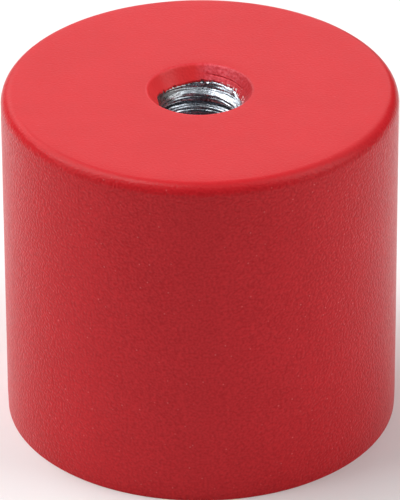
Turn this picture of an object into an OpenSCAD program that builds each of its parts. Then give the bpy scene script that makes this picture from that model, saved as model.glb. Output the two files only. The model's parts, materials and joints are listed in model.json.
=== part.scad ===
// Deep pot lifting magnet with a tapped hole in its back, in millimetres.
// The origin is the centre of the pole face. +Z runs up the axis and out through the tapped hole.

/* [Pot] */
// Outer diameter of the bare steel pot
pot_d = 27; // [25:0.5:35]
// Height of the bare steel pot, from the pole face to the back face
pot_h = 24.55; // [23:0.05:35]
// Thickness of the pot's side wall
pot_wall = 3.2; // [2.5:0.1:3.5]
// Thickness of the pot's closed end
pot_base = 10; // [10:0.5:12]
// Radius of the rounded edge between the side and the back face
back_edge_r = 0.75; // [0.2:0.05:1.5]
// Radius of the corner between the pot's bore and its floor
floor_corner_r = 0.4; // [0.2:0.1:0.6]

/* [Tapped hole] */
// Major diameter of the thread
thread_d = 6; // [5:0.5:6]
// Pitch of the thread
thread_pitch = 1; // [0.8:0.1:1]
// Number of thread turns, each one a groove around the wall
thread_turns = 6; // [3:1:6]
// Depth of the first groove's middle below the back face
first_groove_depth = 1.57; // [1.5:0.01:1.8]
// Depth of the drilled wall below the back face
drill_depth = 7.5; // [7.5:0.1:8]
// Included angle of the drill's point
drill_point_angle = 118; // [118:1:140]
// Diameter of the countersink at the back face
countersink_d = 7.3; // [7:0.1:7.6]
// Included angle of the countersink
countersink_angle = 60; // [60:5:75]
// Radius of the rounded edge between the countersink and the back face
countersink_edge_r = 0.18; // [0.1:0.02:0.3]

/* [Enamel] */
// Thickness of the paint film
coat_t = 0.1; // [0.05:0.01:0.2]
// Depth below the pot's back face at which the paint stops in the countersink
coat_end_depth = 1.15; // [0.6:0.05:1.2]

/* [Magnet] */
// Diameter of the magnet rod
core_d = 12.7; // [10:0.1:14]
// Width of the chamfer on the rod's inner end
core_chamfer = 0.6; // [0.4:0.1:1]
// Thickness of the bonding layer under the rod
core_bond_t = 0.1; // [0.05:0.05:0.2]

/* [Spacer] */
// Height of the spacer ring
spacer_h = 4; // [3:0.5:8]
// Thickness of the bonding film on each side of the spacer ring
glue_t = 0.1; // [0.05:0.05:0.2]

/* [Hidden] */
$fn = 96;

// How far a cutting shape runs past the surface that it cuts
over = 1;

pot_r = pot_d / 2;
bore_r = pot_r - pot_wall;
floor_z = pot_h - pot_base;
core_r = core_d / 2;
core_h = floor_z - core_bond_t;

// A tapping drill is smaller than the thread by one pitch.
drill_r = (thread_d - thread_pitch) / 2;
drill_end_z = pot_h - drill_depth;
drill_point_h = drill_r / tan(drill_point_angle / 2);
// An internal metric thread has 60 degree flanks, and a flat an eighth of the pitch wide at its root.
flank_angle = 30;
thread_r = thread_d / 2;
root_flat = thread_pitch / 8;

// The countersink's wall leans away from the axis by half of the included angle.
lean = countersink_angle / 2;
// Distance from the countersink's sharp corner to the start of its rounded edge
edge_run = countersink_edge_r / tan((90 + lean) / 2);
countersink_edge = [countersink_d / 2 + edge_run, pot_h - countersink_edge_r];
back_edge = [pot_r - back_edge_r, pot_h - back_edge_r];

// Radius of the countersink's wall at a depth below the bare back face, under a skin of this thickness
function countersink_r(depth, skin) = countersink_d / 2 - depth * tan(lean) - skin / cos(lean);

// Half section of the turned blank with its outside surfaces moved out by skin, from bottom_z up the
// side, over the back face and into the countersink. inside lists the points that close it.
module blank_outline(skin, bottom_z, inside) {
    edge_r = countersink_edge_r + skin;
    polygon(concat(
        [
            [pot_r + skin, bottom_z],
            [pot_r + skin, back_edge[1]],
            [back_edge[0], pot_h + skin],
            [countersink_edge[0], pot_h + skin],
            countersink_edge + edge_r * [-cos(lean), sin(lean)]
        ],
        inside
    ));
    translate(back_edge)
        circle(r = back_edge_r + skin);
    translate(countersink_edge)
        circle(r = edge_r);
}

// Half section of the cup's inside, with a rounded corner at its floor
module cavity_outline() {
    corner_x = bore_r - floor_corner_r;
    corner_z = floor_z - floor_corner_r;
    translate([0, -over])
        square([bore_r, corner_z + over]);
    square([corner_x, floor_z]);
    translate([corner_x, corner_z])
        circle(r = floor_corner_r);
}

// Half section of one thread groove, with its middle at z = 0 and its flanks run on past the wall
module groove_outline() {
    inner_r = drill_r - thread_pitch / 2;
    inner_half = root_flat / 2 + (thread_r - inner_r) * tan(flank_angle);
    polygon([
        [inner_r, inner_half],
        [thread_r, root_flat / 2],
        [thread_r, -root_flat / 2],
        [inner_r, -inner_half]
    ]);
}

// A flat ring as high as the spacer, standing on the pole face's plane
module pole_ring(inner_r, outer_r) {
    rotate_extrude()
        translate([inner_r, 0])
            square([outer_r - inner_r, spacer_h]);
}

// The turned steel cup, with its countersunk and tapped blind hole
module pot_body() {
    wall_top_z = pot_h - (countersink_d / 2 - drill_r) / tan(lean);
    color("lightgray")
        difference() {
            rotate_extrude()
                difference() {
                    blank_outline(0, 0, [
                        [drill_r, wall_top_z],
                        [drill_r, drill_end_z],
                        [0, drill_end_z - drill_point_h],
                        [0, 0]
                    ]);
                    cavity_outline();
                }
            for (turn = [0 : thread_turns - 1])
                translate([0, 0, pot_h - first_groove_depth - turn * thread_pitch])
                    rotate_extrude()
                        groove_outline();
        }
}

// The paint film over the pot's outside and down the countersink
module enamel_coat() {
    end_z = pot_h - coat_end_depth;
    bare_r = countersink_r(coat_end_depth, 0);
    color("crimson")
        rotate_extrude()
            difference() {
                blank_outline(coat_t, 0, [
                    [countersink_r(coat_end_depth, coat_t), end_z],
                    [bare_r, end_z],
                    [bare_r, 0]
                ]);
                blank_outline(0, -over, [
                    [bare_r, end_z],
                    [0, end_z],
                    [0, -over]
                ]);
            }
}

// The cast rod, with its ground end in the pole face
module magnet_core() {
    color("slategray")
        rotate_extrude()
            polygon([
                [0, 0],
                [core_r, 0],
                [core_r, core_h - core_chamfer],
                [core_r - core_chamfer, core_h],
                [0, core_h]
            ]);
}

// The non-magnetic ring between the two poles, flush with the pole face
module spacer_ring() {
    color("gainsboro")
        pole_ring(core_r + glue_t, bore_r - glue_t);
}

// The bond between the rod and the pot's floor
module core_adhesive() {
    color("darkkhaki")
        translate([0, 0, core_h])
            cylinder(h = core_bond_t, r = core_r - core_chamfer);
}

// The bond between the rod and the spacer ring
module inner_glue_line() {
    color("peru")
        pole_ring(core_r, core_r + glue_t);
}

// The bond between the spacer ring and the pot's bore
module outer_glue_line() {
    color("peru")
        pole_ring(bore_r - glue_t, bore_r);
}

pot_body();
enamel_coat();
magnet_core();
spacer_ring();
core_adhesive();
inner_glue_line();
outer_glue_line();
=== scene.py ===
"""Looks of the pot lifting magnet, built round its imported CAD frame.

Shapes are worked out in millimetres, and mesh_piece() turns them into metres. The camera looks along
+Y, so left is -X and right is +X. A depth is measured down from the bare steel's back face, and the
mouth is the countersink.
"""
import json
import math

import bmesh
import bpy
import numpy as np
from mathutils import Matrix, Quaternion, Vector, noise


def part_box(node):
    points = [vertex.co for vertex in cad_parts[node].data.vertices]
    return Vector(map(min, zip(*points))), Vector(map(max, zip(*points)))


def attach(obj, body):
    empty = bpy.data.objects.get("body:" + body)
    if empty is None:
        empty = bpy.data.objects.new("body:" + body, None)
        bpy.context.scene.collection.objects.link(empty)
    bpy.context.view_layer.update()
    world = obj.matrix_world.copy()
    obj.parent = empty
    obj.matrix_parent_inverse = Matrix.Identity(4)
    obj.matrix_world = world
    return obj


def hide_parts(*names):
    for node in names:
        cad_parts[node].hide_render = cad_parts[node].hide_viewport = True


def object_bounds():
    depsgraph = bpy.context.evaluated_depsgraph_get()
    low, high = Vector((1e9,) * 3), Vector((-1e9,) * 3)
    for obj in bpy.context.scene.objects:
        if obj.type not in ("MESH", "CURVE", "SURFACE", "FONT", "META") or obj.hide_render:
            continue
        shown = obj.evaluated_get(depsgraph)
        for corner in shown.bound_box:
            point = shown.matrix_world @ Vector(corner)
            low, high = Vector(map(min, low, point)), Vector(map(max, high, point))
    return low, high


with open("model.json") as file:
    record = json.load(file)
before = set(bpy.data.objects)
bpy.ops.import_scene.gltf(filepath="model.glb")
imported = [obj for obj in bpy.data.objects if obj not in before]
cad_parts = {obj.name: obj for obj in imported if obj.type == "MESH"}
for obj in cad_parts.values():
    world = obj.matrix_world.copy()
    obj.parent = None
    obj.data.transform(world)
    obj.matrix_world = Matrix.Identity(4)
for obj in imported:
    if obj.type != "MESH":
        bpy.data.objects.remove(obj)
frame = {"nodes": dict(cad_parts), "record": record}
cad_low, cad_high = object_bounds()

MM = 0.001
# Points of a mesh that lie closer together than this, in metres, become one
WELD_DISTANCE = 2e-7


def box_mm(node):
    """Lowest and highest corner of a CAD node, in millimetres."""
    low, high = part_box(node)
    return np.array(low) / MM, np.array(high) / MM


# ---------------------------------------------------------------- sizes from the frame, in millimetres
POT_R = box_mm("pot_body")[1][0]
POT_H = box_mm("pot_body")[1][2]
COAT_T = box_mm("enamel_coat")[1][2] - POT_H
CORE_R = box_mm("magnet_core")[1][0]
CORE_H = box_mm("magnet_core")[1][2]
FLOOR_Z = box_mm("core_adhesive")[1][2]
CORE_CHAMFER = CORE_R - box_mm("core_adhesive")[1][0]
SPACER_R = box_mm("spacer_ring")[1][0]
SPACER_H = box_mm("spacer_ring")[1][2]
INNER_BOND_R = box_mm("inner_glue_line")[1][0]
BORE_R = box_mm("outer_glue_line")[1][0]

thread_mount = next(m for m in frame["record"]["mounts"] if m["name"] == "thread")
CREST_R = thread_mount["dims"]["r_mm"]
DRILLED_END_Z = thread_mount["pos_m"][2] / MM - thread_mount["dims"]["length_mm"]

# ---------------------------------------------------------------- sizes of the details, in millimetres
BACK_EDGE_R = 0.75
BORE_CORNER_R = 0.4
MOUTH_R = 3.65
MOUTH_EDGE_R = 0.18
MOUTH_LEAN = math.radians(30)
DRILL_POINT_HALF_ANGLE = math.radians(59)
GROUND_CHAMFER = 0.06

PITCH = 1.0
ROOT_R = CREST_R + PITCH / 2
ROOT_HALF_FLAT = PITCH / 16
FLANK = math.radians(30)
# The tap's marks on the thread's flanks: their spacing as a share of the pitch, how far along a mark
# the middle of a crest lies, and their depth
TOOL_MARK_STEP = 1 / 6
TOOL_MARK_PHASE = 0.59
TOOL_MARK_DEPTH = 0.024
# The crests' worn corners: half of the groove's width across them, and their angle from the axis
WORN_HALF_WIDTH = 0.362
WORN_ANGLE = math.radians(39)
# How far the thread's corners are blended: at the crests and at the roots
CREST_BLEND = 0.03
ROOT_BLEND = 0.07
# The furrow that a forming tap leaves along the crests: its depth, half of its width and how far it
# lies below the crests' middle
FURROW_DEPTH = 0.086
FURROW_HALF_WIDTH = 0.07
FURROW_BELOW = 0.035
# Depths of the tapped wall's top, under the paint, and of the first whole crest at the wall's +Y side
THREAD_TOP_DEPTH = 1.0
CREST_DEPTH = 1.82
# How far the tap raised the mouth's wall around the first crest, and the depths between which it rises
RAISED_WALL = 0.16
RAISED_DEPTHS = (1.15, 1.55)
# The heights between which the thread runs out into the plain drilled wall
THREAD_FADE = (DRILLED_END_Z + 0.5, DRILLED_END_Z + 1.35)
# The tap's scratches, which run round the wall, the roughness on them, and the depths between which
# both grow to their full height
SCRATCH_HEIGHT = 0.017
SCRATCH_SIZE = 0.16
SCRATCH_STRETCH = (0.15, 0.15, 1.8)
ROUGHNESS_HEIGHT = 0.003
ROUGHNESS_SIZE = 0.1
SCRATCHED_DEPTHS = (1.05, 1.25)

# Depth at which the paint stops, at degrees round the mouth from +X
PAINT_EDGE = [
    (0, 1.27), (22, 1.32), (42, 1.09), (72, 0.99), (125, 1.13),
    (143, 1.13), (163, 1.0), (180, 1.55), (206, 1.0), (360, 1.27),
]
# The ragged shape of that edge: small teeth, and notches wherever their noise is above a value
TOOTH_DEPTH = 0.05
TOOTH_SIZE = 0.1
NOTCH_DEPTH = 0.35
NOTCH_SIZE = 0.22
NOTCH_ABOVE = 0.3
# A hairline crease in the mouth's paint: its depth at the middle and how that falls with the angle,
# its width, how far it cuts in, and the middle and half of the arc that it spans
CREASE_DEPTH = 0.63
CREASE_SLOPE = 0.13
CREASE_WIDTH = 0.028
CREASE_CUT = 0.085
CREASE_MIDDLE = math.radians(50)
CREASE_HALF_SPAN = math.radians(28)
# The paint's thickness at its edge in the mouth, as a share of the whole, and the distance over which
# it reaches the whole
EDGE_THICKNESS = 0.25
EDGE_TAPER = 0.1
# How much thinner the paint is at its ground lower edge, and the share by which its thickness varies
FOOT_THINNING = 0.03
COAT_VARIATION = 0.05
COAT_VARIATION_SIZE = 2.2
# The bright lip that the tap raised below the paint, and how far its middle lies below the paint's
# edge: an even rolled edge, and a ragged burr. Each is highest on one side of the hole, and grows
# between two cosines of the angle from there. The burr keeps a share of its height elsewhere
LIP_BELOW_PAINT = 0.07
ROLLED_HEIGHT = 0.04
ROLLED_WIDTH = 0.04
ROLLED_MIDDLE = math.radians(60)
ROLLED_SIDE = (-0.1, 0.45)
BURR_HEIGHT = 0.2
BURR_WIDTH = 0.06
BURR_SIZE = 0.1
BURR_MIDDLE = math.radians(45)
BURR_SIDE = (0.7, 0.95)
BURR_ELSEWHERE = 0.15
# How far the bond lines lie below the pole face, and the chamfer on their edges
BOND_SUNK = 0.05
BOND_CHAMFER = 0.02

# The paint's looks in the mouth, which hold painted light, sheen, shade, shadows and glints: half of the
# width over which they start at the rim, the x between which the dusty right with its painted sheen turns
# into the clean left, the depth below which the paint's edge is worn, and the x at which its pits of painted
# shadow and its chips with painted glints start
RIM_BLEND = 0.1
SHEEN_AND_DUST_TO_CLEAN_X = (0.6, -0.4)
WORN_DEPTH = 0.85
PIT_SHADOWS_LEFT_OF = -0.8
CHIP_GLINTS_RIGHT_OF = 0.6
# The painted shade on the cut steel's left: the depths and the x between which it grows to its full strength
STEEL_SHADE_DEPTHS = (2.6, 1.2)
STEEL_SHADE_X = (-0.6, -1.7)
STEEL_SHADE_STRENGTH = 0.75

# Steps once round the steel pieces and the paint, and rows of points on the pot's outside
TURN_STEPS = 240
COAT_STEPS = 480
SIDE_ROWS = 24
EDGE_ROWS = 12
BACK_ROWS = 12
RIM_ROWS = 8


# ---------------------------------------------------------------- outlines in the (r, z) half plane
def line(start, end, count=2):
    """Points on a straight stretch, both ends included."""
    return np.linspace(start, end, count)


def arc(centre, radius, start, end, count):
    """Points on an arc, with its angles in degrees."""
    angles = np.radians(np.linspace(start, end, count))
    return np.array(centre) + radius * np.column_stack([np.cos(angles), np.sin(angles)])


def placed(path, angles):
    """A grid of points in space from (r, z) points, with one column for each angle."""
    r, z = path[..., 0], path[..., 1]
    return np.stack([r * np.cos(angles), r * np.sin(angles), z + 0 * angles], axis=-1)


def turned(outline, angles):
    """A grid of points: the outline turned to each of the angles."""
    return placed(outline[:, None], angles)


def mouth_r(z):
    """Radius of the bare mouth at a height."""
    return MOUTH_R - (POT_H - z) * math.tan(MOUTH_LEAN)


def smooth_step(low, high, value):
    """0 below low, 1 above high, and a smooth rise between them."""
    t = np.clip((value - low) / (high - low), 0, 1)
    return t * t * (3 - 2 * t)


def full_turn(steps, start=0.0):
    """Angles once round, with the first one repeated at the end."""
    return start + np.linspace(0, 2 * math.pi, steps + 1)


# ---------------------------------------------------------------- noise
def noise_at(points, size, seed):
    """Smooth noise between about -1 and 1 at each point, with features of about this size."""
    shift = Vector((seed * 17.3, seed * 5.9, seed * 11.1))
    flat = points.reshape(-1, 3) / size
    values = [noise.noise(Vector(p) + shift) for p in flat]
    return np.array(values).reshape(points.shape[:-1])


# ---------------------------------------------------------------- meshes
def mesh_piece(name, grids, materials, nodes, sharp_above=40):
    """One closed piece from grids of points, which rides on the part and stands for the CAD nodes."""
    points = []
    faces = []
    for grid in grids:
        rows, columns = grid.shape[:2]
        index = sum(len(p) for p in points) + np.arange(rows * columns).reshape(rows, columns)
        quads = np.stack([index[:-1, :-1], index[:-1, 1:], index[1:, 1:], index[1:, :-1]], axis=-1)
        points.append(grid.reshape(-1, 3))
        faces.append(quads.reshape(-1, 4))
    mesh = bpy.data.meshes.new(name)
    mesh.from_pydata(np.concatenate(points) * MM, [], np.concatenate(faces).tolist())
    work = bmesh.new()
    work.from_mesh(mesh)
    bmesh.ops.remove_doubles(work, verts=work.verts, dist=WELD_DISTANCE)
    bmesh.ops.recalc_face_normals(work, faces=work.faces)
    for face in work.faces:
        face.smooth = True
    for edge in work.edges:
        edge.smooth = edge.calc_face_angle(0) < math.radians(sharp_above)
    work.to_mesh(mesh)
    work.free()
    for material in materials:
        mesh.materials.append(material)
    piece = bpy.data.objects.new(name, mesh)
    bpy.context.scene.collection.objects.link(piece)
    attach(piece, "root")
    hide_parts(*nodes)
    return piece


# ---------------------------------------------------------------- the outside that steel and paint share
def outside_path(mouth_depths):
    """Points of the bare outside and their normals, from the pole face up the side and into the mouth.

    mouth_depths holds the depths of the rows in the mouth, with one column for each angle.
    """
    edge_centre = (POT_R - BACK_EDGE_R, POT_H - BACK_EDGE_R)
    run = MOUTH_EDGE_R / math.tan((math.pi / 2 + MOUTH_LEAN) / 2)
    rim_centre = (MOUTH_R + run, POT_H - MOUTH_EDGE_R)
    side = line((POT_R, 0), (POT_R, edge_centre[1]), SIDE_ROWS)
    edge = arc(edge_centre, BACK_EDGE_R, 0, 90, EDGE_ROWS)[1:]
    back = line((edge_centre[0], POT_H), (rim_centre[0], POT_H), BACK_ROWS)[1:]
    rim = arc(rim_centre, MOUTH_EDGE_R, 90, 150, RIM_ROWS)[1:]
    fixed = np.concatenate([side, edge, back, rim])
    fixed_normals = np.concatenate([
        np.tile((1.0, 0.0), (len(side), 1)),
        arc((0, 0), 1, 0, 90, EDGE_ROWS)[1:],
        np.tile((0.0, 1.0), (len(back), 1)),
        arc((0, 0), 1, 90, 150, RIM_ROWS)[1:],
    ])
    columns = mouth_depths.shape[1]
    mouth = np.stack([mouth_r(POT_H - mouth_depths), POT_H - mouth_depths], axis=-1)
    mouth_normal = (-math.cos(MOUTH_LEAN), math.sin(MOUTH_LEAN))
    points = np.concatenate([np.repeat(fixed[:, None], columns, axis=1), mouth])
    normals = np.concatenate([
        np.repeat(fixed_normals[:, None], columns, axis=1),
        np.broadcast_to(mouth_normal, mouth.shape),
    ])
    return points, normals


def paint_edge_drift(angles):
    """Mean depth at which the paint stops, round the mouth."""
    degrees, depths = np.array(PAINT_EDGE).T
    place = np.interp(np.degrees(angles) % 360, degrees, np.arange(len(degrees)))
    before = np.minimum(place.astype(int), len(degrees) - 2)
    return depths[before] + (depths[before + 1] - depths[before]) * smooth_step(0, 1, place - before)


# ---------------------------------------------------------------- steel pot
def larger(first, second, blend):
    """The larger of two values, with the corner between them blended over this distance."""
    return (first + second + np.sqrt((first - second) ** 2 + blend ** 2)) / 2


def thread_r(turn):
    """Radius of the thread's wall at a share of the pitch below the middle of a crest."""
    from_root = np.abs(turn - 0.5) * PITCH
    flank = ROOT_R - (from_root - ROOT_HALF_FLAT) / math.tan(FLANK)
    flank += TOOL_MARK_DEPTH * np.sin(2 * math.pi * (turn / TOOL_MARK_STEP + TOOL_MARK_PHASE))
    worn_corner = CREST_R + (WORN_HALF_WIDTH - from_root) / math.tan(WORN_ANGLE)
    inner = larger(larger(flank, worn_corner, CREST_BLEND), CREST_R, CREST_BLEND)
    below_crest = ((turn + 0.5) % 1 - 0.5) * PITCH
    furrow = FURROW_DEPTH * np.clip(1 - np.abs(below_crest - FURROW_BELOW) / FURROW_HALF_WIDTH, 0, 1)
    return furrow - larger(-inner, -ROOT_R, ROOT_BLEND)


def thread_grid():
    """The tapped wall as one strip that winds down with the pitch, from the mouth to the plain wall.

    Its rows are close together at the furrow and on the flank that faces up, and wide apart between them.
    Returns the grid, the angle of its first column, and the heights of its top and its end.
    """
    furrow = line(0, 0.14, 9)
    facing_down = line(0.17, 0.42, 6)
    facing_up = line(0.44, 1.0, 28)
    turns = np.concatenate([furrow, facing_down, facing_up])
    top_z = POT_H - THREAD_TOP_DEPTH
    crest_z = POT_H - CREST_DEPTH
    start = math.pi / 2 + 2 * math.pi * (((top_z - crest_z) / PITCH) % 1)
    end_z = THREAD_FADE[0]
    steps = math.ceil((top_z - end_z) / PITCH * TURN_STEPS) + TURN_STEPS
    column = np.arange(steps + 1)
    angles = start - 2 * math.pi * column / TURN_STEPS
    lower_crest = top_z - PITCH * column / TURN_STEPS
    z = np.clip(lower_crest + PITCH * (1 - turns[:, None]), end_z, top_z)
    tapped = CREST_R + (thread_r(turns)[:, None] - CREST_R) * smooth_step(*THREAD_FADE, z)
    raised = RAISED_WALL * smooth_step(POT_H - RAISED_DEPTHS[0], POT_H - RAISED_DEPTHS[1], z)
    r = np.maximum(mouth_r(z) - raised, tapped)
    return placed(np.stack([r, z], axis=-1), angles), start, top_z, end_z


def tap_marks(grid):
    """How far the tap's scratches and roughness stand out of the thread's wall."""
    scratches = SCRATCH_HEIGHT * noise_at(grid * SCRATCH_STRETCH, SCRATCH_SIZE, seed=1)
    roughness = ROUGHNESS_HEIGHT * noise_at(grid, ROUGHNESS_SIZE, seed=2)
    z = grid[..., 2]
    on_thread = smooth_step(*SCRATCHED_DEPTHS, POT_H - z) * smooth_step(*THREAD_FADE, z)
    return (scratches + roughness) * on_thread


def lip(grid, top_z):
    """How far the lip below the paint stands out of the wall: its rolled edge and its ragged burr."""
    angles = np.arctan2(grid[..., 1], grid[..., 0])
    from_middle = POT_H - grid[..., 2] - paint_edge_drift(angles) - LIP_BELOW_PAINT
    rolled = ROLLED_HEIGHT * np.exp(-(from_middle / ROLLED_WIDTH) ** 2)
    rolled *= smooth_step(*ROLLED_SIDE, np.cos(angles - ROLLED_MIDDLE))
    burr = BURR_HEIGHT * np.exp(-(from_middle / BURR_WIDTH) ** 2)
    burr *= np.maximum(noise_at(grid, BURR_SIZE, seed=6), 0)
    burr *= BURR_ELSEWHERE + (1 - BURR_ELSEWHERE) * smooth_step(*BURR_SIDE, np.cos(angles - BURR_MIDDLE))
    # The strip's top stays where it is, because the mouth's mesh joins it there.
    return (rolled + burr) * smooth_step(top_z, top_z - 0.05, grid[..., 2])


def torn(grid, top_z):
    """The tapped wall with the tap's marks on it and the lip below the paint."""
    inward = tap_marks(grid) + lip(grid, top_z)
    scale = 1 - (inward / np.hypot(grid[..., 0], grid[..., 1]))[..., None] * np.array([1, 1, 0])
    return grid * scale


def steel_pot(materials):
    """The turned cup with its countersunk mouth, helical thread, drilled hole and ground pole ring."""
    thread, start, top_z, end_z = thread_grid()
    angles = full_turn(TURN_STEPS, start)
    tip_z = DRILLED_END_Z - CREST_R / math.tan(DRILL_POINT_HALF_ANGLE)
    drilled = np.concatenate([
        line((0, tip_z), (CREST_R, DRILLED_END_Z), 8),
        line((CREST_R, DRILLED_END_Z), (CREST_R, end_z), 3)[1:],
    ])
    mouth_depths = line(0.2, POT_H - top_z, 8)[:, None] + 0 * angles
    outside = outside_path(mouth_depths)[0]
    corner = BORE_R - BORE_CORNER_R
    inside = np.concatenate([
        line((0, FLOOR_Z), (corner, FLOOR_Z), 6),
        arc((corner, FLOOR_Z - BORE_CORNER_R), BORE_CORNER_R, 90, 0, 6)[1:],
        line((BORE_R, FLOOR_Z - BORE_CORNER_R), (BORE_R, GROUND_CHAMFER), 6)[1:],
        line((BORE_R + GROUND_CHAMFER, 0), (POT_R, 0), 4),
    ])
    grids = [turned(drilled, angles), torn(thread, top_z), placed(outside, angles), turned(inside, angles)]
    piece = mesh_piece("steel_pot", grids, materials, ["pot_body"])
    for face in piece.data.polygons:
        if face.center.z < GROUND_CHAMFER * MM:
            face.material_index = 1
    return piece


# ---------------------------------------------------------------- red paint
def paint_edge_depth(angles):
    """Depth of the paint's ragged edge, round the mouth."""
    round_mouth = np.stack([np.cos(angles), np.sin(angles), 0 * angles], axis=-1) * CREST_R
    teeth = noise_at(round_mouth, TOOTH_SIZE, seed=4)
    notches = np.maximum(noise_at(round_mouth, NOTCH_SIZE, seed=7) - NOTCH_ABOVE, 0)
    return paint_edge_drift(angles) + TOOTH_DEPTH * teeth - NOTCH_DEPTH * notches


def crease(depths, angles):
    """How far the hairline crease cuts into the paint, as a share of its greatest depth."""
    aside = (angles - CREASE_MIDDLE + math.pi) % (2 * math.pi) - math.pi
    line_depth = CREASE_DEPTH - CREASE_SLOPE * aside
    fade = smooth_step(1.15, 0.7, np.abs(aside) / CREASE_HALF_SPAN)
    return fade * np.exp(-((depths - line_depth) / CREASE_WIDTH) ** 2)


def paint_coat(materials):
    """The enamel film, with a hairline crease in the mouth and a ragged edge above the thread."""
    angles = full_turn(COAT_STEPS)
    edge = paint_edge_depth(angles)
    above_crease = line(0.22, 0.5, 6)
    round_crease = line(0.53, 0.77, 17)
    level_rows = np.concatenate([above_crease, round_crease, line(0.78, 0.8)])[:, None]
    to_edge = line(0.1, 1, 11)[:, None]
    depths = np.concatenate([level_rows + 0 * angles, level_rows[-1] + (edge - level_rows[-1]) * to_edge])
    path, normals = outside_path(depths)
    skin = np.full(path.shape[:2], COAT_T)
    mouth_rows = slice(len(skin) - len(depths), None)
    skin[mouth_rows] *= EDGE_THICKNESS + (1 - EDGE_THICKNESS) * smooth_step(0, EDGE_TAPER, edge - depths)
    skin[mouth_rows] -= CREASE_CUT * crease(depths, angles)
    skin[0] -= FOOT_THINNING
    bare = placed(path, angles)
    skin *= 1 + COAT_VARIATION * noise_at(bare, COAT_VARIATION_SIZE, seed=5)
    outer = placed(path + normals * skin[..., None], angles)
    loop = np.concatenate([outer, bare[::-1], outer[:1]])
    return mesh_piece("red_enamel_coat", [loop], materials, ["enamel_coat"], sharp_above=50)


# ---------------------------------------------------------------- pieces seen at the pole face
def magnet_rod(materials):
    """The cast rod, chamfered at its inner end and ground flush at the pole face."""
    outline = np.concatenate([
        line((0, 0), (CORE_R - GROUND_CHAMFER, 0), 6),
        line((CORE_R, GROUND_CHAMFER), (CORE_R, CORE_H - CORE_CHAMFER), 8),
        line((CORE_R - CORE_CHAMFER, CORE_H), (0, CORE_H), 5),
    ])
    grid = turned(outline, full_turn(TURN_STEPS))
    return mesh_piece("cast_magnet_rod", [grid], materials, ["magnet_core"])


def ring(name, radii, chamfer, sunk, material, node):
    """A ring as high as the spacer, with chamfered edges and its pole end sunk by this much."""
    inner_r, outer_r = radii
    outline = np.concatenate([
        line((inner_r + chamfer, sunk), (outer_r - chamfer, sunk), 4),
        line((outer_r, sunk + chamfer), (outer_r, SPACER_H - chamfer), 4),
        line((outer_r - chamfer, SPACER_H), (inner_r + chamfer, SPACER_H), 4),
        line((inner_r, SPACER_H - chamfer), (inner_r, sunk + chamfer), 4),
        [(inner_r + chamfer, sunk)],
    ])
    grid = turned(outline, full_turn(TURN_STEPS))
    return mesh_piece(name, [grid], [material], [node])


# ---------------------------------------------------------------- colours
ENAMEL_DARK = (0.58, 0.0125, 0.0185, 1)
ENAMEL_LIGHT = (0.614, 0.0145, 0.0215, 1)
# The grain's darker and lighter reds stand in for shade and light on its tiny slopes: painted shade and
# painted light
GRAIN_SHADED = (0.4, 0.007, 0.012, 1)
GRAIN_LIT = (0.93, 0.05, 0.06, 1)
# The pale specks are raised nibs, and their pale colour is a painted highlight
SPECK_HIGHLIGHT = (0.95, 0.25, 0.25, 1)
# The mouth's reds are far lighter than the same enamel outside it: painted light in the countersink
CLEAN_MOUTH_PAINTED_LIGHT = (0.9, 0.05, 0.055, 1)
DUST_DARK_PAINTED_LIGHT = (0.74, 0.04, 0.055, 1)
# The pale pink of the dusty right is partly dust mottle and partly a painted sheen
DUST_LIGHT_PAINTED_SHEEN = (0.98, 0.15, 0.19, 1)
# Painted shade: the mouth's wall is darkened towards the far right
MOUTH_PAINTED_SHADE = (0.44, 0.025, 0.03, 1)
# Painted shadow: black dots where the paint's edge has notches
PIT_SHADOW = (0.006, 0.005, 0.005, 1)
# The white chips are torn paint whose whiteness is a painted glint
CHIP_GLINT = (0.95, 0.8, 0.8, 1)
# The cut steel's blue cast is a painted reflection of dim bluish surroundings
CUT_STEEL_DARK_BLUE_REFLECTION = (0.22, 0.245, 0.28, 1)
CUT_STEEL_LIGHT_BLUE_REFLECTION = (0.58, 0.635, 0.69, 1)
# Painted shade: the darkening of the cut steel at the left
STEEL_PAINTED_SHADE = (0.14, 0.135, 0.12, 1)
GROUND_STEEL_DARK = (0.44, 0.44, 0.45, 1)
GROUND_STEEL_LIGHT = (0.66, 0.66, 0.67, 1)
CAST_MAGNET_DARK = (0.26, 0.26, 0.27, 1)
CAST_MAGNET_LIGHT = (0.46, 0.46, 0.47, 1)
CASTING_PIT_SHADE = (0.05, 0.05, 0.055, 1)
ALUMINIUM_DARK = (0.66, 0.66, 0.67, 1)
ALUMINIUM_LIGHT = (0.86, 0.86, 0.87, 1)
RESIN_DARK = (0.1, 0.07, 0.045, 1)
RESIN_LIGHT = (0.16, 0.12, 0.08, 1)
CARD_DARK = (0.88, 0.88, 0.88, 1)
CARD_LIGHT = (0.9, 0.9, 0.9, 1)


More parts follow.
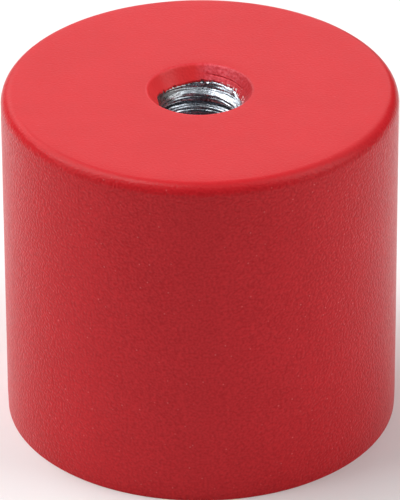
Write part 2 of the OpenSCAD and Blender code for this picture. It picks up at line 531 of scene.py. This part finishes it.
# ---------------------------------------------------------------- materials
class Material:
    """A new material and short ways to add nodes to it. Texture sizes are in millimetres."""

    def __init__(self, name):
        self.material = bpy.data.materials.new(name)
        self.material.use_nodes = True
        self.tree = self.material.node_tree
        self.shader = self.tree.nodes["Principled BSDF"]
        self.place = self.add("ShaderNodeTexCoord").outputs["Object"]

    def add(self, kind, **settings):
        """Adds a node with these settings."""
        node = self.tree.nodes.new(kind)
        for key, value in settings.items():
            setattr(node, key, value)
        return node

    def connect(self, value, socket):
        """Links a socket, or sets a plain value."""
        if isinstance(value, bpy.types.NodeSocket):
            self.tree.links.new(value, socket)
        else:
            socket.default_value = value

    def math(self, operation, first, second=0.0):
        """The result of a math node."""
        node = self.add("ShaderNodeMath", operation=operation)
        for value, socket in zip((first, second), node.inputs):
            self.connect(value, socket)
        return node.outputs[0]

    def product(self, first, *others):
        """The product of two or more values."""
        for other in others:
            first = self.math("MULTIPLY", first, other)
        return first

    def stretched(self, factors):
        """Object coordinates multiplied by these factors."""
        node = self.add("ShaderNodeVectorMath", operation="MULTIPLY")
        self.connect(self.place, node.inputs[0])
        self.connect(factors, node.inputs[1])
        return node.outputs[0]

    def noise(self, size, detail=2.0, roughness=0.5, stretch=(1, 1, 1)):
        """Noise with features of this size, squeezed by the factors along the three axes."""
        node = self.add("ShaderNodeTexNoise")
        self.connect(self.stretched(stretch), node.inputs["Vector"])
        node.inputs["Scale"].default_value = 1 / (size * MM)
        node.inputs["Detail"].default_value = detail
        node.inputs["Roughness"].default_value = roughness
        return node.outputs["Fac"]

    def spots(self, spacing, radius, soft=1.0):
        """1 in the middle of scattered round spots, and 0 outside them."""
        node = self.add("ShaderNodeTexVoronoi")
        self.connect(self.place, node.inputs["Vector"])
        node.inputs["Scale"].default_value = 1 / (spacing * MM)
        return self.ranged(node.outputs["Distance"], radius / spacing, radius * (1 - soft) / spacing, 0, 1)

    def ranged(self, value, from_low, from_high, to_low, to_high):
        """A value moved from one range to another and kept inside it."""
        node = self.add("ShaderNodeMapRange")
        for item, socket in zip((value, from_low, from_high, to_low, to_high), node.inputs):
            self.connect(item, socket)
        return node.outputs[0]

    def mixed(self, share, first, second):
        """A colour between two colours."""
        node = self.add("ShaderNodeMix", data_type="RGBA")
        self.connect(share, node.inputs["Factor"])
        self.connect(first, node.inputs["A"])
        self.connect(second, node.inputs["B"])
        return node.outputs["Result"]

    def axis(self, name, vector):
        """One component of a vector."""
        node = self.add("ShaderNodeSeparateXYZ")
        self.connect(vector, node.inputs[0])
        return node.outputs[name]

    def bump(self, height, depth, below=None):
        """Adds bumps of this depth in millimetres to the surface's normal, on top of the bumps below."""
        node = self.add("ShaderNodeBump")
        self.connect(height, node.inputs["Height"])
        node.inputs["Distance"].default_value = depth * MM
        if below is not None:
            self.connect(below, node.inputs["Normal"])
        return node.outputs["Normal"]

    def finish(self, **inputs):
        """Sets the shader's inputs and returns the material."""
        for name, value in inputs.items():
            self.connect(value, self.shader.inputs[name.replace("_", " ")])
        return self.material


def open_enamel(m, graininess):
    """Colour and bumps of the paint outside the mouth: fine grain, whose colour also carries painted shade
    and light, with a few pale raised specks that carry a painted highlight.
    """
    grain = m.noise(0.17, detail=0.5)
    specks = m.product(m.spots(0.75, 0.08), graininess)
    bumps = m.bump(specks, 0.04, m.bump(m.product(grain, graininess), 0.062))
    tone = m.ranged(m.noise(3.0, detail=3), 0.35, 0.65, 0, 1)
    # Painted shade and light: the grain darkens and lightens the colour as well as its tone
    shade = m.ranged(m.product(m.math("SUBTRACT", grain, 0.5), graininess), -0.25, 0.25, 0, 1)
    colour = m.mixed(tone, ENAMEL_DARK, ENAMEL_LIGHT)
    colour = m.mixed(0.25, colour, m.mixed(shade, GRAIN_SHADED, GRAIN_LIT))
    # Painted highlight: the raised specks are given a pale colour
    return m.mixed(m.product(specks, 0.5), colour, SPECK_HIGHLIGHT), bumps


def mouth_enamel(m, x, radius, clean_side):
    """Colour of the paint in the mouth, lighter than the enamel outside with painted light: clean on the
    left, dusty with a painted sheen on the right, and darkened with painted shade at the far right.
    """
    mottle = m.ranged(m.noise(0.22, detail=2, roughness=0.6), 0.3, 0.7, 0, 1)
    # Painted shade: the colour darkens towards the far right of the mouth
    far_right_painted_shade = m.ranged(m.math("DIVIDE", x, radius), 0.5, 1, 0, 0.85)
    # Dust mottle on the right, whose pale pink is partly a painted sheen
    dust_and_sheen = m.mixed(far_right_painted_shade, m.mixed(mottle, DUST_DARK_PAINTED_LIGHT, DUST_LIGHT_PAINTED_SHEEN), MOUTH_PAINTED_SHADE)
    return m.mixed(clean_side, dust_and_sheen, CLEAN_MOUTH_PAINTED_LIGHT)


def worn_edge_shadows_and_glints(m, colour, x, in_mouth):
    """The colour with black pits of painted shadow along the left of the paint's edge, and white chips with a
    painted glint along its right.
    """
    by_edge = m.product(in_mouth, m.math("LESS_THAN", m.axis("Z", m.place), (POT_H - WORN_DEPTH) * MM))
    on_left = m.math("LESS_THAN", x, PIT_SHADOWS_LEFT_OF * MM)
    on_right = m.math("GREATER_THAN", x, CHIP_GLINTS_RIGHT_OF * MM)
    # Painted shadow: black dots along the left of the paint's edge
    shaded_pits = m.product(m.spots(0.42, 0.13, soft=0.5), by_edge, on_left)
    # Painted glint: white chips along the right of the paint's edge
    chip_glints = m.product(m.spots(0.18, 0.075, soft=0.4), by_edge, on_right)
    return m.mixed(chip_glints, m.mixed(shaded_pits, colour, PIT_SHADOW), CHIP_GLINT)


def red_enamel():
    """Sprayed red enamel: grained on the side, smoother on the back face, and in the mouth worn, with painted
    light, sheen, shade, shadows and glints.
    """
    m = Material("red_enamel")
    up = m.axis("Z", m.add("ShaderNodeNewGeometry").outputs["Normal"])
    x, y = (m.axis(name, m.place) for name in "XY")
    radius = m.math("SQRT", m.math("ADD", m.product(x, x), m.product(y, y)))
    in_mouth = m.ranged(radius, (MOUTH_R + RIM_BLEND) * MM, (MOUTH_R - RIM_BLEND) * MM, 0, 1)
    clean_side = m.product(in_mouth, m.ranged(x, SHEEN_AND_DUST_TO_CLEAN_X[0] * MM, SHEEN_AND_DUST_TO_CLEAN_X[1] * MM, 0, 1))
    graininess = m.product(m.ranged(up, 0.2, 0.95, 1.0, 0.2), m.ranged(clean_side, 0, 1, 1, 0.35))
    colour, bumps = open_enamel(m, graininess)
    colour = m.mixed(in_mouth, colour, mouth_enamel(m, x, radius, clean_side))
    colour = worn_edge_shadows_and_glints(m, colour, x, in_mouth)
    gloss = m.ranged(m.noise(0.5, detail=2), 0.3, 0.7, 0.28, 0.36)
    return m.finish(Base_Color=colour, Roughness=gloss, Normal=bumps, Specular_IOR_Level=0.16)


def tapped_steel():
    """Bright cut steel, with fine tool marks round the wall and painted shade darkening it at the left, below
    the paint.
    """
    m = Material("tapped_steel")
    marks = m.noise(0.7, detail=1, stretch=(1, 1, 7))
    grit = m.noise(0.12, detail=1)
    bumps = m.bump(grit, 0.008, m.bump(marks, 0.025))
    tone = m.ranged(m.noise(0.4, detail=3, roughness=0.7, stretch=(1, 1, 5)), 0.38, 0.62, 0, 1)
    x, z = (m.axis(name, m.place) for name in "XZ")
    by_paint = m.ranged(z, (POT_H - STEEL_SHADE_DEPTHS[0]) * MM, (POT_H - STEEL_SHADE_DEPTHS[1]) * MM, 0, 1)
    # Painted shade: the steel is darkened at the left, below the paint
    painted_left_shade = m.product(by_paint, m.ranged(x, STEEL_SHADE_X[0] * MM, STEEL_SHADE_X[1] * MM, 0, STEEL_SHADE_STRENGTH))
    colour = m.mixed(painted_left_shade, m.mixed(tone, CUT_STEEL_DARK_BLUE_REFLECTION, CUT_STEEL_LIGHT_BLUE_REFLECTION), STEEL_PAINTED_SHADE)
    gloss = m.ranged(m.noise(0.15, detail=2), 0.3, 0.7, 0.2, 0.36)
    return m.finish(Base_Color=colour, Metallic=1.0, Roughness=gloss, Normal=bumps)


def ground_metal(name, dark, light, pit_depth=0.0):
    """A metal face ground flat, with straight grinding lines and, in cast metal, small pits darkened with
    painted shade.
    """
    m = Material(name)
    lines = m.noise(0.8, detail=3, roughness=0.6, stretch=(0.04, 4, 1))
    bumps = m.bump(lines, 0.012)
    colour = m.mixed(m.ranged(lines, 0.3, 0.7, 0, 1), dark, light)
    if pit_depth:
        shaded_pits = m.spots(0.8, 0.14)
        bumps = m.bump(m.product(shaded_pits, -1.0), pit_depth, bumps)
        # Painted shade: the pits are darkened towards black
        colour = m.mixed(m.product(shaded_pits, 0.7), colour, CASTING_PIT_SHADE)
    gloss = m.ranged(m.noise(1.5, detail=4), 0.3, 0.7, 0.24, 0.4)
    return m.finish(Base_Color=colour, Metallic=1.0, Roughness=gloss, Normal=bumps)


def bonding_resin():
    """Dark brown hardened resin."""
    m = Material("bonding_resin")
    tone = m.noise(0.4, detail=3)
    colour = m.mixed(m.ranged(tone, 0.3, 0.7, 0, 1), RESIN_DARK, RESIN_LIGHT)
    gloss = m.ranged(tone, 0.3, 0.7, 0.45, 0.6)
    return m.finish(Base_Color=colour, Roughness=gloss, Normal=m.bump(tone, 0.02))


def pale_floor():
    """Matte white card."""
    m = Material("pale_card")
    tone = m.ranged(m.noise(40, detail=2), 0.3, 0.7, 0, 1)
    colour = m.mixed(tone, CARD_DARK, CARD_LIGHT)
    return m.finish(Base_Color=colour, Roughness=0.9, Specular_IOR_Level=0.1)


# ---------------------------------------------------------------- studio, in metres
FLOOR_SIZE = 4.0
FLOOR_GAP = 0.00002
WORLD_STRENGTH = 0.02
BODY_CENTRE = Vector((0, 0, (cad_low.z + cad_high.z) / 2))
# The camera fitted to the photograph, with its elevation in degrees and its lens in millimetres
CAMERA_ELEVATION = 30.288
CAMERA_ROLL = math.radians(-0.279)
CAMERA_DISTANCE = 0.3844
CAMERA_LENS = 399.2
CAMERA_SHIFT = (-0.00116, -0.01062)
# The soft boxes, all at one distance: name, azimuth and elevation in degrees, size, and power in watts
LIGHT_DISTANCE = 0.4
SOFT_BOXES = [
    ("light_high_left", -90, 70, (0.2, 0.14), 0.56),
    ("light_high_right", 90, 70, (0.2, 0.14), 0.13),
    ("light_left", -78, 35, (0.2, 0.34), 0.36),
    ("light_left_edge", -97, 44, (0.08, 0.08), 0.21),
    ("light_left_back", -128, 45, (0.28, 0.24), 0.5),
    ("light_right_back", 140, 47, (0.24, 0.14), 0.08),
    ("light_right", 80, 38, (0.22, 0.34), 0.7),
    ("light_back", 180, 27, (0.3, 0.2), 0.272),
    ("light_back_high", 180, 56, (0.36, 0.14), 0.06),
    ("light_back_left", -150, 22, (0.12, 0.18), 0.09),
    ("light_front", 0, 72, (0.24, 0.035), 0.045),
]


def direction(azimuth, elevation):
    """Unit vector at these angles in degrees. Azimuth 0 is the camera's side and 90 is the camera's right."""
    a, e = math.radians(azimuth), math.radians(elevation)
    return Vector((math.sin(a) * math.cos(e), -math.cos(a) * math.cos(e), math.sin(e)))


def floor():
    """A wide card under the part."""
    half = FLOOR_SIZE / 2
    corners = [(-half, -half), (half, -half), (half, half), (-half, half)]
    mesh = bpy.data.meshes.new("floor")
    mesh.from_pydata([(x, y, -FLOOR_GAP) for x, y in corners], [], [(0, 1, 2, 3)])
    mesh.materials.append(pale_floor())
    card = bpy.data.objects.new("floor", mesh)
    bpy.context.scene.collection.objects.link(card)


def soft_box(name, azimuth, elevation, size, power):
    """A rectangular area light that faces the part."""
    data = bpy.data.lights.new(name, "AREA")
    data.shape = "RECTANGLE"
    data.size, data.size_y = size
    data.energy = power
    box = bpy.data.objects.new(name, data)
    toward = direction(azimuth, elevation)
    box.location = BODY_CENTRE + toward * LIGHT_DISTANCE
    box.rotation_euler = toward.to_track_quat("Z", "Y").to_euler()
    bpy.context.scene.collection.objects.link(box)


def lights():
    """The soft boxes above and around the part, in a dim white room."""
    for settings in SOFT_BOXES:
        soft_box(*settings)
    world = bpy.data.worlds.new("room")
    world.use_nodes = True
    world.node_tree.nodes["Background"].inputs["Color"].default_value = (1, 1, 1, 1)
    world.node_tree.nodes["Background"].inputs["Strength"].default_value = WORLD_STRENGTH
    bpy.context.scene.world = world
    bpy.context.scene.view_settings.view_transform = "Standard"


def camera():
    """The camera at the photograph's angle."""
    data = bpy.data.cameras.new("camera")
    data.lens = CAMERA_LENS
    data.shift_x, data.shift_y = CAMERA_SHIFT
    data.clip_start, data.clip_end = 0.01, 10
    eye = bpy.data.objects.new("camera", data)
    away = direction(0, CAMERA_ELEVATION)
    eye.location = BODY_CENTRE + away * CAMERA_DISTANCE
    eye.rotation_mode = "QUATERNION"
    eye.rotation_quaternion = (-away).to_track_quat("-Z", "Y") @ Quaternion((0, 0, 1), CAMERA_ROLL)
    bpy.context.scene.collection.objects.link(eye)
    bpy.context.scene.camera = eye


# ---------------------------------------------------------------- the part
resin = bonding_resin()
steel_face = ground_metal("ground_steel", GROUND_STEEL_DARK, GROUND_STEEL_LIGHT)
rod_face = ground_metal("ground_cast_magnet", CAST_MAGNET_DARK, CAST_MAGNET_LIGHT, pit_depth=0.03)
spacer_face = ground_metal("ground_aluminium", ALUMINIUM_DARK, ALUMINIUM_LIGHT)

steel_pot([tapped_steel(), steel_face])
paint_coat([red_enamel()])
magnet_rod([rod_face])
spacer_radii = (INNER_BOND_R, SPACER_R)
inner_radii = (CORE_R, INNER_BOND_R)
outer_radii = (SPACER_R, BORE_R)
ring("aluminium_spacer", spacer_radii, GROUND_CHAMFER, 0, spacer_face, "spacer_ring")
ring("inner_bond_line", inner_radii, BOND_CHAMFER, BOND_SUNK, resin, "inner_glue_line")
ring("outer_bond_line", outer_radii, BOND_CHAMFER, BOND_SUNK, resin, "outer_glue_line")
frame["nodes"]["core_adhesive"].data.materials.clear()
frame["nodes"]["core_adhesive"].data.materials.append(resin)

floor()
lights()
camera()
